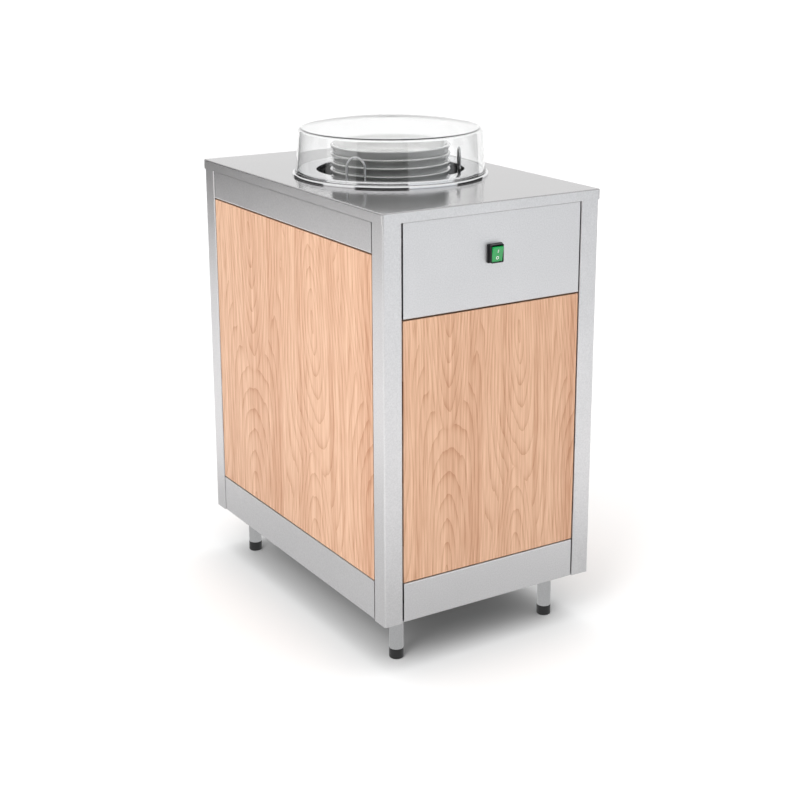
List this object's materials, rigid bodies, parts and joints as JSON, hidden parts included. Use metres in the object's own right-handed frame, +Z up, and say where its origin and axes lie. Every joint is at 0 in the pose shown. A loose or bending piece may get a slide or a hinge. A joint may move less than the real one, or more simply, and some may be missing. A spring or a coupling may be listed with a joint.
{
  "type": "plate dispenser",
  "caption": "Free-standing plate dispenser: steel counter with a round spring-lifted plate well under a clear lift-off cover, wood-decor panels and a rocker switch.",
  "frame": {"origin": "on the floor under the middle of the counter, feet screwed fully in", "axes": "+Z up, -Y out of the front with the switch, +X to the right seen from the front"},
  "size_m": [0.49, 0.7716, 1.0135],
  "materials": {
    "satin_steel": "satin brushed stainless",
    "polished_steel": "polished stainless",
    "plain_steel": "mill-finish stainless",
    "spring_steel": "bright spring wire",
    "heater_sheath": "heat-tinted sheath",
    "wood_decor": "matt laminate with pale wood grain",
    "board": "raw board",
    "clear_cover": "clear polished",
    "white_ceramic": "white glaze",
    "black_plastic": "fine matt moulding",
    "grey_plastic": "matt moulding",
    "white_plastic": "low-friction bush",
    "green_plastic": "translucent green lens"
  },
  "bodies": {
    "cabinet": {"countertop": "satin_steel", "front_fascia": "satin_steel", "rear_fascia": "satin_steel", "left_upper_rail": "satin_steel", "right_upper_rail": "satin_steel", "front_lower_rail": "satin_steel", "rear_lower_rail": "satin_steel", "left_lower_rail": "satin_steel", "right_lower_rail": "satin_steel", "corner_post_front_left": "satin_steel", "corner_post_front_right": "satin_steel", "corner_post_rear_left": "satin_steel", "corner_post_rear_right": "satin_steel", "leg_front_left": "satin_steel", "leg_front_right": "satin_steel", "leg_rear_left": "satin_steel", "leg_rear_right": "satin_steel", "rim_ring": "polished_steel", "guide_rod_1": "polished_steel", "guide_rod_2": "polished_steel", "guide_rod_3": "polished_steel", "plate_guide_1": "polished_steel", "plate_guide_2": "polished_steel", "plate_guide_3": "polished_steel", "base_frame": "plain_steel", "top_frame": "plain_steel", "frame_uprights": "plain_steel", "base_plate": "plain_steel", "shaft_tube": "plain_steel", "shaft_floor": "plain_steel", "rod_nuts": "plain_steel", "leg_nuts": "plain_steel", "leg_inserts": "plain_steel", "heater_clips": "plain_steel", "thermal_cutout": "plain_steel", "lift_spring_1": "spring_steel", "lift_spring_2": "spring_steel", "lift_spring_3": "spring_steel", "heater_element": "heater_sheath", "front_panel": "wood_decor", "rear_panel": "wood_decor", "left_panel": "wood_decor", "right_panel": "wood_decor", "counter_board": "board", "switch_housing": "black_plastic", "cable_gland": "black_plastic", "terminal_box": "grey_plastic", "terminal_box_lid": "grey_plastic"},
    "cover": {"dome_cover": "clear_cover"},
    "carrier": {"carrier_plate": "plain_steel", "carrier_spider": "plain_steel", "carrier_bushes": "white_plastic", "plate_stack": "white_ceramic", "top_plate": "white_ceramic"},
    "rocker": {"switch_rocker": "green_plastic"},
    "foot_front_left": {"foot_front_left": "black_plastic"},
    "foot_front_right": {"foot_front_right": "black_plastic"},
    "foot_rear_left": {"foot_rear_left": "black_plastic"},
    "foot_rear_right": {"foot_rear_right": "black_plastic"}
  },
  "joints": [
    {"name": "cover_lift", "type": "slide", "parent": "cabinet", "child": "cover", "axis": [0, 0, 1], "range_m": [0, 0.25]},
    {"name": "carrier_lift", "type": "slide", "parent": "cabinet", "child": "carrier", "axis": [0, 0, 1], "range_m": [-0.42, 0], "stiffness_N_per_m": 500, "springref_m": 0.21, "deforming": ["lift_spring_1", "lift_spring_2", "lift_spring_3"]},
    {"name": "rocker_tilt", "type": "hinge", "parent": "cabinet", "child": "rocker", "pos_m": [0, -0.375, 0.802], "axis": [-1, 0, 0], "range_deg": [0, 24]},
    {"name": "foot_level_front_left", "type": "slide", "parent": "cabinet", "child": "foot_front_left", "axis": [0, 0, -1], "range_m": [0, 0.025]},
    {"name": "foot_level_front_right", "type": "slide", "parent": "cabinet", "child": "foot_front_right", "axis": [0, 0, -1], "range_m": [0, 0.025]},
    {"name": "foot_level_rear_left", "type": "slide", "parent": "cabinet", "child": "foot_rear_left", "axis": [0, 0, -1], "range_m": [0, 0.025]},
    {"name": "foot_level_rear_right", "type": "slide", "parent": "cabinet", "child": "foot_rear_right", "axis": [0, 0, -1], "range_m": [0, 0.025]}
  ]
}
